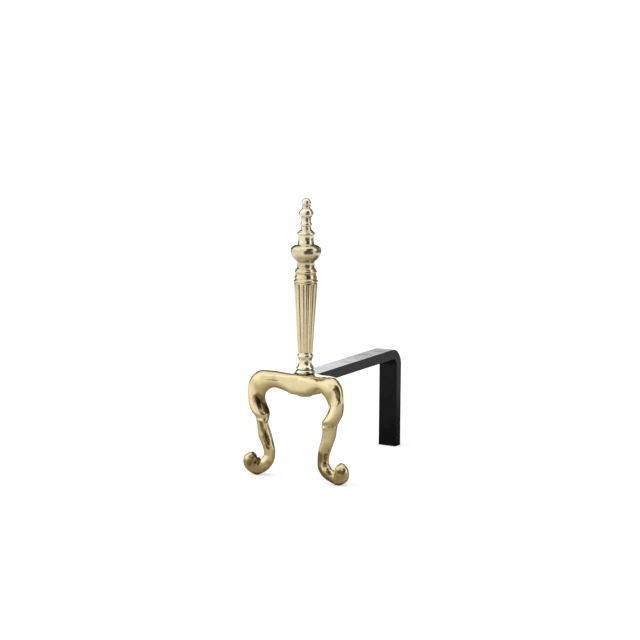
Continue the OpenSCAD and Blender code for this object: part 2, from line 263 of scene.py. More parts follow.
# The paint is glossy at the front end, and the fire has dulled it towards the rear
glossy_y, dull_y = -0.10, 0.12
along_bar = put(tree, "ShaderNodeSeparateXYZ", {0: where}).outputs[1]
dulled = faded(tree, along_bar, glossy_y, dull_y, to_low=0.12, to_high=0.26)
smudge_dull = maths(tree, "MULTIPLY", skin.outputs["Smudge"], 0.06)
tree.links.new(maths(tree, "ADD", dulled, smudge_dull), shader.inputs["Roughness"])
shader.inputs["IOR"].default_value = 1.27
bump = put(tree, "ShaderNodeBump", {"Height": skin.outputs["Height"], "Distance": 0.12 * mm,
                                    "Strength": 0.5})
tree.links.new(bump.outputs[0], shader.inputs["Normal"])

bar_top, bar_under = bar_high.z, bar_high.z - bar_thick
bend_at = (bar_high.y - bar_bend, bar_high.z - bar_bend)
bar_outline = ([(bar_low.y, bar_under), (bar_low.y, bar_top)]
               + arc(bend_at, bar_bend, 90, 0, bend_steps)
               + [(bar_high.y, 0), (bar_high.y - bar_thick, 0)]
               + arc(bend_at, bar_bend - bar_thick, 0, 90, bend_steps))
draft = prism("bar_draft", bar_outline, bar_low.x, bar_high.x)
draft.data.shade_smooth()
corner_cutters = []
for side in (-1, 1):
    corner = (side * (bar_high.x - bar_nose_round), bar_low.y + bar_nose_round)
    round_part = arc(corner, bar_nose_round, -90, -90 + 90 * side, nose_steps)
    outer_x, outer_y = side * 30 * mm, bar_low.y - overcut
    outer = [(outer_x, corner[1]), (outer_x, outer_y), (corner[0], outer_y)]
    corner_cutters.append(cut(draft, slab(f"nose_corner_{side}", round_part + outer,
                                          bar_under - overcut, bar_top + overcut)))
eased = draft.modifiers.new("eased_edges", "BEVEL")
eased.width, eased.segments, eased.limit_method = bar_edge, 3, "ANGLE"
eased.angle_limit = math.radians(bar_crease)
bore = cut(draft, plug("bore", screw_bore, low_z=0, high_z=1))
level = draft.modifiers.new("level_faces", "WEIGHTED_NORMAL")
level.keep_sharp = True
black_bar = finished("black_bar", draft, [bore, *corner_cutters])
stands_for(black_bar, "log_bar", black_paint)

# ---- Leg arch ------------------------------------------------------------------
# One brass casting, fettled and polished: the arch, two cabriole legs with an ankle
# ring, and the scroll feet. Milled seat and notch on top, drilled from below.

arch_sides = 72
arch_steps = 8
arch_crease = 38
sole_flat = 0.6
notch_gap = 0.15
notch_steps = 16
arch_seat = 16
washer_face = 13
belly_z = 123.5
drill_from, drill_to = 90, 190
sole_cutter_x, sole_cutter_y = 200 * mm, 100 * mm

# x, y, z, half width, half depth, chord angle, squareness and bow of each section,
# in mm and degrees from the middle of the arch to the tip of the right toe
leg_sections = [
    (0, -3, 138.55, 15.05, 16, 90, 4.5, 0), (14, -5.3, 138.85, 15.15, 17, 89, 4, 10),
    (25.5, -9.5, 140.7, 14, 16, 86, 3, 22), (36, -13.75, 143.1, 13.1, 15.2, 83, 2.4, 27),
    (45.6, -18.5, 144.4, 13.2, 15, 75, 2.2, 28), (54.8, -23, 142.4, 15.8, 14.4, 67, 2.1, 28),
    (61.6, -25.4, 136, 16.9, 12.7, 58, 2, 26), (64.8, -24.9, 126.8, 17.9, 10.3, 49, 2, 28),
    (65.4, -24.8, 117.6, 17.5, 9.8, 37, 2, 34), (64.5, -24.5, 109.7, 16, 11, 23, 2, 40),
    (62, -25, 102, 15.1, 12.3, 12, 2, 43), (58.2, -26.4, 94.5, 13.3, 12.7, 5, 2, 45),
    (56.6, -25.8, 90.2, 10.7, 12, 0, 2, 45), (55.9, -25.9, 88, 9.9, 11.2, 0, 2, 45),
    (55.7, -26.6, 84.6, 9.1, 11.7, 0, 2, 45), (55.8, -26.4, 80.8, 8.1, 10.6, 0, 2, 45),
    (53.9, -25, 70, 9.3, 10.3, 0, 2, 36), (51, -25.6, 60, 10, 9.1, 0, 2, 21),
    (47.5, -25.1, 50, 9.2, 8.8, 0, 2, 5), (45.2, -24.4, 41.8, 8.6, 8.2, 0, 2, 5),
    (44.7, -24.5, 33, 8.4, 7.9, 5, 2, 6), (46.2, -25.6, 26.8, 9.1, 7.9, 19, 2, 6),
    (50.3, -26.2, 20.8, 9.4, 8.1, 42, 2, 5), (54.9, -25.1, 15.9, 9, 8.4, 64, 2, 2),
    (60.3, -22.8, 13, 9.8, 8.8, 85, 2, 0), (65.5, -21.2, 12, 12.1, 9.4, 101, 2, 2),
    (70.7, -21.9, 14.9, 13, 10.1, 119, 2, 7), (74.6, -23.7, 18.3, 13, 10.2, 140, 2, 12),
    (75.9, -25.2, 22.9, 11.6, 9.4, 162, 2, 12), (75.3, -26, 27.4, 9.9, 8.1, 183, 2, 9),
    (72.7, -25.8, 30.1, 7.5, 6.8, 203, 2, 5), (70.4, -25.2, 31.2, 5.3, 5, 222, 2, 2),
]


def other_leg(section):
    """The same section on the left leg."""
    x, y, z, wide, deep, chord, square, bow = section
    return (-x, y, z, wide, deep, 180 - chord, square, -bow)


def section_at(index):
    """A section by number, counted into the left leg when it is negative."""
    if index < 0:
        return other_leg(leg_sections[-index])
    return leg_sections[min(index, len(leg_sections) - 1)]


def between(index, share):
    """A smooth curve through the sections."""
    near = [section_at(index + i) for i in (-1, 0, 1, 2)]
    return tuple(0.5 * (2 * b + (c - a) * share + (2 * a - 5 * b + 4 * c - d) * share ** 2
                        + (3 * b - a - 3 * c + d) * share ** 3) for a, b, c, d in zip(*near))


def section_ring(section):
    """Points round the leg at one section."""
    x, y, z, wide, deep, chord, square, bow = section
    chord, bow = math.radians(chord), math.radians(bow)
    points = []
    for i in range(arch_sides):
        turn = 2 * math.pi * (i + 0.5) / arch_sides
        across, along = (math.copysign(abs(part) ** (2 / square), part)
                         for part in (math.cos(turn), math.sin(turn)))
        u, v = wide * across, deep * along
        points.append(Vector((x + u * math.cos(chord) * math.cos(bow) - v * math.sin(bow),
                              y - u * math.cos(chord) * math.sin(bow) - v * math.cos(bow),
                              z + u * math.sin(chord) - sole_flat)) * mm)
    return points


right_leg = [between(i, step / arch_steps)
             for i in range(len(leg_sections) - 1) for step in range(arch_steps)]
right_leg.append(leg_sections[-1])
whole_arch = [other_leg(section) for section in reversed(right_leg[1:])] + right_leg
shape = bmesh.new()
rings = [[shape.verts.new(point + Vector((0, column_y, 0))) for point in section_ring(section)]
         for section in whole_arch]
for near, far in zip(rings, rings[1:]):
    for i in range(arch_sides):
        j = (i + 1) % arch_sides
        shape.faces.new((near[i], far[i], far[j], near[j]))
for ring in (rings[0], rings[-1]):
    centre = shape.verts.new(sum((point.co for point in ring), Vector()) / arch_sides)
    for i in range(arch_sides):
        shape.faces.new((ring[i], ring[(i + 1) % arch_sides], centre))
bmesh.ops.recalc_face_normals(shape, faces=shape.faces)
draft = as_object("arch_draft", shape)
notch_half, notch_low = bar_high.x + notch_gap * mm, bar_low.y - notch_gap * mm
notch_round = bar_nose_round + notch_gap * mm
round_x, round_y = notch_half - notch_round, notch_low + notch_round
notch_back = column_y + 50 * mm
notch_outline = (arc((round_x, round_y), notch_round, -90, 0, notch_steps)
                 + [(notch_half, notch_back), (-notch_half, notch_back)]
                 + arc((-round_x, round_y), notch_round, 180, 270, notch_steps))
cutters = [
    cut(draft, block("floor_flat", (-sole_cutter_x, column_y - sole_cutter_y, -3 * overcut),
                     (sole_cutter_x, column_y + sole_cutter_y, 0))),
    cut(draft, plug("seat", arch_seat * mm, bar_top, bar_top + 3 * overcut)),
    cut(draft, slab("notch", notch_outline, bar_under, bar_top + 2 * overcut)),
    cut(draft, plug("screw_hole", screw_bore, drill_from * mm, drill_to * mm)),
    cut(draft, plug("washer_seat", washer_face * mm, drill_from * mm, belly_z * mm))]
cast_arch = finished("cast_arch", draft, cutters, arch_crease)

# Patina and painted shade: darker where the surface turns inwards, where the polishing mop can't
# reach and where shade falls
crease_tarnish_and_shade, given, wanted = group(
    "crease_tarnish_and_shade",
    [("Where", "NodeSocketVector", None), ("Reach", "NodeSocketFloat", 0.004),
     ("Patch scale", "NodeSocketFloat", 120.0)],
    [("Mask", "NodeSocketFloat")])
closed_in = put(crease_tarnish_and_shade, "ShaderNodeAmbientOcclusion", {"Distance": given.outputs["Reach"]},
                samples=6).outputs["AO"]
open_face, deep_crease = 0.9, 0.4
patch = noise(crease_tarnish_and_shade, given.outputs["Where"], given.outputs["Patch scale"], detail=3.0)
patch = faded(crease_tarnish_and_shade, patch, 0.3, 0.7, to_low=0.55)
crease_tarnish_and_shade.links.new(
    maths(crease_tarnish_and_shade, "MULTIPLY", faded(crease_tarnish_and_shade, closed_in, open_face, deep_crease), patch),
    wanted.inputs["Mask"])


def brass(name, bright, deep, dull, rough, reach, stain_and_painted_dark,
          wave=(90.0, 0.08 * mm), grain=(1200.0, 0.03)):
    """Polished brass: two close tones, patina and painted shade in the creases, brown marks and
    soft smudges.

    rough is the roughness from clean to smudged, and reach how far the patina and painted shade
    come out of a crease. wave is the scale and the depth of the slow waves, and grain the scale of
    the fine grain and its share of them.
    """
    finish, tree, where, shader = finish_named(name)
    skin = put(tree, "ShaderNodeGroup", {"Where": where, "Wave scale": wave[0],
                                         "Grain scale": grain[0], "Grain share": grain[1],
                                         "Smudge scale": 35.0}, node_tree=uneven_skin)
    creases = put(tree, "ShaderNodeGroup", {"Where": where, "Reach": reach}, node_tree=crease_tarnish_and_shade)
    worn = put(tree, "ShaderNodeGroup", {"Where": where, "Width": 0.8 * mm, "Patch scale": 200.0,
                                         "Amount": 0.5}, node_tree=edge_wear)
    rubbed = tuple(min(1, c * 1.1) for c in bright)
    deep_in_dark_tone = 0.07
    stain_and_dark_tone = tuple((1 - deep_in_dark_tone) * a + deep_in_dark_tone * b for a, b in zip(dull, deep))
    tone = faded(tree, noise(tree, where, 22.0), 0.3, 0.7)
    metal = blended(tree, tone, bright, deep)
    metal = blended(tree, worn.outputs["Mask"], metal, rubbed)
    # Brown marks: on the arch and the shaft they hold painted dark reflections and painted shade
    metal = blended(tree, stain_and_painted_dark(tree, where), metal, stain_and_dark_tone)
    # Patina and painted shade in the creases
    metal = blended(tree, creases.outputs["Mask"], metal, dull)
    tree.links.new(metal, shader.inputs["Base Color"])
    smudged = faded(tree, skin.outputs["Smudge"], 0.0, 1.0, rough[0], rough[1])
    crease_dull = maths(tree, "MULTIPLY", creases.outputs["Mask"], 0.25)
    tree.links.new(maths(tree, "ADD", smudged, crease_dull), shader.inputs["Roughness"])
    shader.inputs["Metallic"].default_value = 1.0
    bump = put(tree, "ShaderNodeBump", {"Height": skin.outputs["Height"], "Distance": wave[1],
                                        "Strength": 1.0})
    tree.links.new(bump.outputs[0], shader.inputs["Normal"])
    return finish


# Brown streaks of painted dark reflection, with some patina on the feet: everything near a short
# line, with a ragged edge
reflection_streak, given, wanted = group(
    "painted_reflection_streak",
    [("Where", "NodeSocketVector", None), ("From", "NodeSocketVector", None),
     ("Along", "NodeSocketVector", None), ("Radius", "NodeSocketFloat", 0.004),
     ("Amount", "NodeSocketFloat", 1.0)],
    [("Mask", "NodeSocketFloat")])


def on_vectors(operation, first, second, result="Vector"):
    """One Vector Math node's result in the streak group."""
    node = put(reflection_streak, "ShaderNodeVectorMath", {0: first, 1: second}, operation=operation)
    return node.outputs[result]


where, along = given.outputs["Where"], given.outputs["Along"]
noise_middle, ragged_by = (0.5, 0.5, 0.5), (8 * mm, 8 * mm, 8 * mm)
ragged = put(reflection_streak, "ShaderNodeTexNoise", {"Vector": where, "Scale": 160.0,
                                            "Detail": 3.0}).outputs["Color"]
ragged = on_vectors("MULTIPLY", on_vectors("SUBTRACT", ragged, noise_middle), ragged_by)
off = on_vectors("ADD", on_vectors("SUBTRACT", where, given.outputs["From"]), ragged)
share = maths(reflection_streak, "DIVIDE", on_vectors("DOT_PRODUCT", off, along, "Value"),
              on_vectors("DOT_PRODUCT", along, along, "Value"))
share = maths(reflection_streak, "MINIMUM", maths(reflection_streak, "MAXIMUM", share, 0.0), 1.0)
nearest = put(reflection_streak, "ShaderNodeVectorMath", {0: along, "Scale": share},
              operation="SCALE").outputs["Vector"]
away = maths(reflection_streak, "DIVIDE", on_vectors("DISTANCE", off, nearest, "Value"),
             given.outputs["Radius"])
soft_outside, full_inside = 1.15, 0.45
reflection_streak.links.new(maths(reflection_streak, "MULTIPLY", faded(reflection_streak, away, soft_outside, full_inside),
                       given.outputs["Amount"]), wanted.inputs["Mask"])

# start, end, radius in mm from the floor under the column, and strength of each streak
# The knee and shin streaks are painted dark reflections, the one under the right ankle ring is
# painted shade, and those on the scrolls and heels are painted dark reflections with patina
reflection_streaks = [
    ((-60, -33, 116), (-48, -28, 100), 9, 0.95),          # inside of the left knee
    ((69.2, -34.6, 143), (74, -35, 128.5), 3.2, 1.0),     # front of the right knee
    ((-53.5, -36.5, 82), (-42.3, -32.2, 44), 3.3, 0.95),  # down the left shin
    ((-39, -25, 57), (-38.5, -25, 46), 3, 0.8),
    ((-70, -33, 27), (-73, -33.5, 17), 6.5, 0.85),        # left scroll
    ((-64, -23.5, 24), (-63.5, -29, 18), 7.5, 0.95),
    ((-67, -30.5, 11), (-61, -30.5, 11.5), 5, 0.45),
    ((77, -34.5, 24), (82, -33.5, 22), 4.6, 1.0),         # right scroll
    ((78, -33.4, 14.5), (83, -33, 15.5), 5, 0.45),
    ((43, -32.9, 44), (44, -32, 20), 6.5, 0.85),          # left side of the right heel
    ((46, -32, 18), (60, -30.2, 6), 6.5, 0.85),
    ((51, -30, 50), (51.5, -31.4, 28), 3.6, 0.95),        # right side of the right heel
    ((55.5, -33.1, 19), (60.8, -30.8, 16.3), 3, 0.9),
    ((54, -38, 86.3), (64, -31, 86.6), 2, 0.6),           # under the right ankle ring
]


def leg_reflections_and_stains(tree, where):
    """Painted dark reflections with some patina on the feet: the streaks, and brown patches that
    thicken towards the feet as painted shade.
    """
    plain_above, darkest_below = 95 * mm, 15 * mm
    height = put(tree, "ShaderNodeSeparateXYZ", {0: where}).outputs[2]
    patches = faded(tree, noise(tree, where, 62.0, detail=4.0, rough=0.62), 0.42, 0.62)
    stain_and_painted_dark = maths(tree, "MULTIPLY", patches,
                  faded(tree, height, plain_above, darkest_below, to_high=0.45))
    for start, end, radius, amount in reflection_streaks:
        start, end = (Vector(point) * mm + Vector((0, column_y, 0)) for point in (start, end))
        mark = put(tree, "ShaderNodeGroup",
                   {"Where": where, "From": start, "Along": end - start, "Radius": radius * mm,
                    "Amount": amount}, node_tree=reflection_streak)
        stain_and_painted_dark = maths(tree, "MAXIMUM", stain_and_painted_dark, mark.outputs["Mask"])
    return stain_and_painted_dark


cast_brass = brass("cast_brass", bright=(0.88, 0.745, 0.44, 1), deep=(0.83, 0.69, 0.38, 1),
                   dull=(0.17, 0.10, 0.035, 1), rough=(0.15, 0.24), reach=6 * mm, stain_and_painted_dark=leg_reflections_and_stains,
                   wave=(70.0, 0.18 * mm), grain=(900.0, 0.03))
stands_for(cast_arch, "leg_arch", cast_brass)

# ---- Column foot ---------------------------------------------------------------
# Bell-shaped foot of the column, turned from brass bar and bored for the screw. It
# stands on the log bar over the middle of the arch.

turned_sides = 160
turned_crease = 38


def oval(centre_r, centre_z, reach, rise, start, end, steps=20):
    """Part of an ellipse, from one angle in degrees to another, 0 being outward."""
    turn = [math.radians(start + (end - start) * i / steps) for i in range(steps + 1)]
    return [(centre_r + reach * math.cos(a), centre_z + rise * math.sin(a)) for a in turn]


def cyma(first, last, steps=18):
    """An S-shaped moulding, upright at both ends."""
    rise = [i / steps for i in range(steps + 1)]
    return [(first[0] + (last[0] - first[0]) * (1 - math.cos(math.pi * t)) / 2,
             first[1] + (last[1] - first[1]) * t) for t in rise]


# The lathe: takes a closed (radius, 0, height) outline round the column's axis
lathe, given, wanted = group(
    "lathe",
    [("Outline", "NodeSocketGeometry", None), ("Sides", "NodeSocketInt", 96),
     ("Axis at", "NodeSocketVector", None), ("Metal", "NodeSocketMaterial", None)],
    [("Turned", "NodeSocketGeometry")], "GeometryNodeTree")
count = put(lathe, "GeometryNodeAttributeDomainSize", {0: given.outputs["Outline"]}).outputs[0]
sheet = put(lathe, "GeometryNodeMeshGrid",
            {"Size X": 1.0, "Size Y": 1.0, "Vertices Y": count,
             "Vertices X": maths(lathe, "ADD", given.outputs["Sides"], 1.0)})
on_sheet = put(lathe, "ShaderNodeSeparateXYZ",
               {0: put(lathe, "GeometryNodeInputPosition").outputs[0]})
turn = maths(lathe, "MULTIPLY", maths(lathe, "ADD", on_sheet.outputs[0], 0.5), 2 * math.pi)
point = maths(lathe, "MULTIPLY", maths(lathe, "ADD", on_sheet.outputs[1], 0.5),
              maths(lathe, "SUBTRACT", count, 1.0))
point = maths(lathe, "ROUND", point)
sample = put(lathe, "GeometryNodeSampleIndex", data_type="FLOAT_VECTOR", domain="POINT")
lathe.links.new(given.outputs["Outline"], sample.inputs["Geometry"])
lathe.links.new(put(lathe, "GeometryNodeInputPosition").outputs[0], sample.inputs["Value"])
lathe.links.new(point, sample.inputs["Index"])
profile = put(lathe, "ShaderNodeSeparateXYZ", {0: sample.outputs[0]})
placed = put(lathe, "ShaderNodeCombineXYZ",
             {0: maths(lathe, "MULTIPLY", profile.outputs[0], maths(lathe, "COSINE", turn)),
              1: maths(lathe, "MULTIPLY", profile.outputs[0], maths(lathe, "SINE", turn)),
              2: profile.outputs[2]})
placed = put(lathe, "ShaderNodeVectorMath", {0: placed.outputs[0], 1: given.outputs["Axis at"]},
             operation="ADD")
turned = put(lathe, "GeometryNodeSetPosition", {"Geometry": sheet.outputs["Mesh"],
                                                "Position": placed.outputs[0]})
turned = put(lathe, "GeometryNodeMergeByDistance", {"Geometry": turned.outputs[0],
                                                    "Distance": 0.002 * mm})
turned = put(lathe, "GeometryNodeRealizeInstances", {0: turned.outputs[0]})
turned = put(lathe, "GeometryNodeSetMaterial", {"Geometry": turned.outputs[0],
                                                "Material": given.outputs["Metal"]})
lathe.links.new(turned.outputs[0], wanted.inputs["Turned"])


def set_inputs(modifier, values):
    """Sets a Geometry Nodes modifier's inputs by their names."""
    for socket in modifier.node_group.interface.items_tree:
        if socket.item_type == "SOCKET" and socket.in_out == "INPUT" and socket.name in values:
            modifier[socket.identifier] = values[socket.name]


def outward(mesh):
    """Turns every face of a closed mesh to the outside."""
    shape = bmesh.new()
    shape.from_mesh(mesh)
    bmesh.ops.recalc_face_normals(shape, faces=shape.faces)
    shape.to_mesh(mesh)
    shape.free()


def bored(outline, inside=None):
    """Closes an outer outline, bottom to top, with the bore's wall, top to bottom."""
    if inside is None:
        inside = [(screw_bore / mm, outline[-1][1]), (screw_bore / mm, outline[0][1])]
    return outline + inside + outline[:1]


def on_the_lathe(name, node, path, metal, sides=turned_sides, then=None):
    """Turns a (radius, height) path in mm round the column's axis, from the node's seat up."""
    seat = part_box(node)[0].z - min(z for _, z in path) * mm
    outline = bpy.data.meshes.new(name)
    outline.from_pydata([(r * mm, 0, seat + z * mm) for r, z in path],
                        [(i, i + 1) for i in range(len(path) - 1)], [])
    draft = linked(name + "_draft", outline)
    turning = draft.modifiers.new("turning", "NODES")
    turning.node_group = lathe
    set_inputs(turning, {"Sides": sides, "Axis at": (0, column_y, 0), "Metal": metal})
    if then:
        then(draft)
    piece = finished(name, draft)
    outward(piece.data)
    piece.data.shade_smooth()
    piece.data.set_sharp_from_angle(angle=math.radians(turned_crease))
    stands_for(piece, node, metal)
    return piece


def clouds(tree, where):
    """A faint uneven film."""
    return faded(tree, noise(tree, where, 60.0, detail=3.0), 0.5, 0.8, to_high=0.15)


turned_brass = brass("turned_brass", bright=(0.90, 0.83, 0.645, 1), deep=(0.86, 0.785, 0.58, 1),
                     dull=(0.17, 0.12, 0.06, 1), rough=(0.09, 0.17), reach=8 * mm, stain_and_painted_dark=clouds)
foot_outline = ([(13.2, 0)] + oval(10.8, 4, 3.6, 3.8, -60, 75)
                + cyma((13.2, 8.8), (9.7, 17)) + [(9.7, 20)])
on_the_lathe("turned_foot", "column_foot", bored(foot_outline), turned_brass)

# ---- Lower collar --------------------------------------------------------------
# Turned brass ring between the foot and the shaft, with a rounded bead.

lower_outline = ([(9.7, 0), (9.7, 2.4)] + oval(9.7, 7.2, 2.2, 3.4, -65, 65)
                 + [(10.5, 11), (10.5, 12.5)])
on_the_lathe("turned_collar", "lower_collar", bored(lower_outline), turned_brass)

# ---- Fluted shaft --------------------------------------------------------------
# Tapered brass shaft, cast with a hollow core and turned. Sixteen round-bottomed
# flutes, cut with a ball-nosed tool, taper with it and run out at both ends.

flute_count = 16
shaft_low, shaft_top = 10.8, 17.1
shaft_tall = 100.5
core_r = 10
flute_depth = 1.6
flute_share = 0.8
flute_wide = flute_share * 2 * math.pi * shaft_top / flute_count
flute_round = flute_wide ** 2 / (8 * flute_depth) + flute_depth / 2
flute_centre = shaft_top - flute_depth + flute_round

# Presses flutes into the outside of a turned cone. Lengths are shares of its radius
fluting, given, wanted = group(
    "fluting",
    [("Turned", "NodeSocketGeometry", None), ("Count", "NodeSocketInt", 16),
     ("Tool centre", "NodeSocketFloat", 1.0), ("Tool radius", "NodeSocketFloat", 0.2),
     ("Inside up to", "NodeSocketFloat", 0.01), ("Axis at", "NodeSocketVector", None),
     ("Metal", "NodeSocketMaterial", None)],
    [("Fluted", "NodeSocketGeometry")], "GeometryNodeTree")
position = put(fluting, "GeometryNodeInputPosition").outputs[0]
from_axis = put(fluting, "ShaderNodeVectorMath", {0: position, 1: given.outputs["Axis at"]},
                operation="SUBTRACT")
on_axis = put(fluting, "ShaderNodeSeparateXYZ", {0: from_axis.outputs[0]})
flat = put(fluting, "ShaderNodeCombineXYZ", {0: on_axis.outputs[0], 1: on_axis.outputs[1]})
radius = put(fluting, "ShaderNodeVectorMath", {0: flat.outputs[0]},
             operation="LENGTH").outputs["Value"]
pitch = maths(fluting, "DIVIDE", 2 * math.pi, given.outputs["Count"])
turn = maths(fluting, "ARCTAN2", on_axis.outputs[1], on_axis.outputs[0])
nearest_flute = maths(fluting, "ROUND", maths(fluting, "DIVIDE", turn, pitch))
turn = maths(fluting, "SUBTRACT", turn, maths(fluting, "MULTIPLY", pitch, nearest_flute))
tool_centre = given.outputs["Tool centre"]
aside = maths(fluting, "MULTIPLY", tool_centre, maths(fluting, "SINE", turn))
reach = maths(fluting, "SUBTRACT", maths(fluting, "POWER", given.outputs["Tool radius"], 2.0),
              maths(fluting, "POWER", aside, 2.0))
bottom = maths(fluting, "SUBTRACT",
               maths(fluting, "MULTIPLY", tool_centre, maths(fluting, "COSINE", turn)),
               maths(fluting, "SQRT", maths(fluting, "MAXIMUM", reach, 0.0)))
sunk = maths(fluting, "SUBTRACT", maths(fluting, "MINIMUM", bottom, 1.0), 1.0)
pressed = put(fluting, "ShaderNodeVectorMath", {0: flat.outputs[0], "Scale": sunk},
              operation="SCALE")
outside = maths(fluting, "GREATER_THAN", radius, given.outputs["Inside up to"])
fluted = put(fluting, "GeometryNodeSetPosition",
             {"Geometry": given.outputs["Turned"], "Selection": outside,
              "Offset": pressed.outputs[0]})
fluted = put(fluting, "GeometryNodeRealizeInstances", {0: fluted.outputs[0]})
fluted = put(fluting, "GeometryNodeSetMaterial", {"Geometry": fluted.outputs[0],
                                                  "Material": given.outputs["Metal"]})
fluting.links.new(fluted.outputs[0], wanted.inputs["Fluted"])


def press_flutes(draft):
    """Adds the flutes to the turned shaft."""
    step = draft.modifiers.new("flutes", "NODES")
    step.node_group = fluting
    set_inputs(step, {"Count": flute_count, "Tool centre": flute_centre / shaft_top,
                      "Tool radius": flute_round / shaft_top, "Inside up to": (core_r + 0.3) * mm,
                      "Axis at": (0, column_y, 0), "Metal": fluted_brass})


shaft_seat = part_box("fluted_shaft")[0].z
film_low, film_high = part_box("shaft_capital")[0].z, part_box("urn")[1].z


def film(tree, where):
    """An uneven brown film, thickest round the capital and the urn."""
    height = put(tree, "ShaderNodeSeparateXYZ", {0: where}).outputs[2]
    thick = maths(tree, "MULTIPLY",
                  faded(tree, height, film_low - 30 * mm, film_low + 10 * mm),
                  faded(tree, height, film_high + 12 * mm, film_high - 4 * mm))
    cloud = noise(tree, where, 60.0, detail=3.0)
    return maths(tree, "MULTIPLY", thick, faded(tree, cloud, 0.32, 0.68, 0.04, 0.3))


def flute_film_and_shade(tree, where):
    """The film, and a faint painted shade that thickens from the ribs to the flutes' floors."""
    place = put(tree, "ShaderNodeSeparateXYZ", {0: where})
    off = maths(tree, "SUBTRACT", place.outputs[1], column_y)
    radius = maths(tree, "SQRT", maths(tree, "ADD", maths(tree, "POWER", place.outputs[0], 2.0),
                                       maths(tree, "POWER", off, 2.0)))
    cone = put(tree, "ShaderNodeMapRange", {
        "Value": place.outputs[2], "From Min": shaft_seat,
        "From Max": shaft_seat + shaft_tall * mm,
        "To Min": shaft_low * mm, "To Max": shaft_top * mm}).outputs[0]
    half_deep, flute_floor = 0.93, 1 - flute_depth / shaft_top
    # Painted shade, darkest on the flutes' floors
    deep = faded(tree, maths(tree, "DIVIDE", radius, cone), half_deep, flute_floor, to_high=0.12)
    return maths(tree, "MAXIMUM", deep, film(tree, where))


# The film's brown, also the colour of the patina and painted shade in creases and flutes
brown_film_and_shade = (0.17, 0.115, 0.045, 1)
fluted_brass = brass("fluted_brass", bright=(0.89, 0.785, 0.52, 1), deep=(0.84, 0.72, 0.44, 1),
                     dull=brown_film_and_shade, rough=(0.12, 0.20), reach=2.2 * mm, stain_and_painted_dark=flute_film_and_shade)
rows = 24
shaft_outline = [(shaft_low + (shaft_top - shaft_low) * i / rows, shaft_tall * i / rows)
                 for i in range(rows + 1)]
shaft_core = [(core_r, shaft_tall), (core_r, 94.5), (4.3, 6), (4.3, 0)]
on_the_lathe("shaft_with_flutes", "fluted_shaft", bored(shaft_outline, shaft_core), fluted_brass,
             sides=flute_count * 40, then=press_flutes)

# ---- Shaft capital -------------------------------------------------------------
# Turned brass rim, cove and ring over the shaft. A spigot below locates it in the
# shaft's core.

ringed_brass = brass("ringed_brass", bright=(0.87, 0.755, 0.49, 1), deep=(0.83, 0.70, 0.43, 1),
                     dull=brown_film_and_shade, rough=(0.08, 0.15), reach=10 * mm, stain_and_painted_dark=film)
capital_outline = ([(9.8, -5), (9.8, 0), (16.8, 0)] + oval(15.8, 3.6, 1.8, 2.6, -70, 70)
                   + [(15.9, 7)] + cyma((16.2, 7.6), (14.8, 13.6))
                   + oval(14.2, 17.4, 2, 2.9, -70, 50)
                   + cyma((15, 20.4), (12.5, 24.4)) + [(12.5, 26)])
on_the_lathe("turned_capital", "shaft_capital", bored(capital_outline), ringed_brass)

# ---- Urn -----------------------------------------------------------------------
# Squashed brass ball between two necks: egg-shaped below, square-shouldered above.

urn_reach, urn_middle = 22, 21
urn_below, urn_above = 18.4, 10.6
shoulder = 0.6


def urn_point(degrees):
    """A point of the urn's outline, 0 being its widest, up positive."""
    turn = math.radians(degrees)
    if degrees <= 0:
        return urn_reach * math.cos(turn), urn_middle + urn_below * math.sin(turn)
    return (urn_reach * math.cos(turn) ** shoulder,
            urn_middle + urn_above * math.sin(turn) ** shoulder)


filmed_brass = brass("filmed_brass", bright=(0.89, 0.80, 0.56, 1), deep=(0.85, 0.75, 0.50, 1),
                     dull=brown_film_and_shade, rough=(0.08, 0.15), reach=10 * mm, stain_and_painted_dark=film)
urn_outline = ([(12.3, 0), (12.3, 3.4)] + [urn_point(a) for a in range(-52, 1, 2)]
               + [urn_point(a) for a in (0.3, 1, 2, *range(4, 67, 2))]
               + [(12.3, 31.8), (11.9, 33)])
on_the_lathe("turned_urn", "urn", bored(urn_outline), filmed_brass)

# ---- Upper collar --------------------------------------------------------------
# Turned brass neck over the urn, with a sharp-edged collar.

upper_outline = (cyma((11.7, 0), (10.8, 4.4)) + [(10.8, 8.4)]
                 + oval(11.4, 13.6, 1.9, 2.3, -80, 60)
                 + cyma((11.3, 16.2), (8, 19.4)) + [(8, 20)])
on_the_lathe("turned_top_collar", "upper_collar", bored(upper_outline), turned_brass)

# ---- Finial --------------------------------------------------------------------
# Bead, ball and button in one brass turning, tapped from below for the tie screw.

tapped_r, tapped_deep = 4.08, 18
finial_tall = 44.5
finial_path = ([(0, tapped_deep), (tapped_r, tapped_deep), (tapped_r, 0)]
               + [(7.4, 0), (7.2, 1.4), (7.1, 3.2)]
               + oval(6.9, 6.6, 1.6, 2.9, -70, 70) + [(7, 10.6), (6.9, 12.4)]
               + oval(0, 22.5, 10.5, 9.2, -48, 54, 40)
               + [(5.6, 31.5), (6.8, 32.7), (6.7, 33.9), (5.4, 34.9)]
               + oval(0, 37.8, 6.6, 6.7, -25, 90, 30))
finial_path[-1] = (0, finial_tall)
on_the_lathe("turned_finial", "finial", finial_path, turned_brass)

# ---- Tie screw and cup washer --------------------------------------------------
# Bright steel screw with a slotted countersunk head, and the pressed washer that
# it sits in under the arch. Both are the CAD's own shapes.

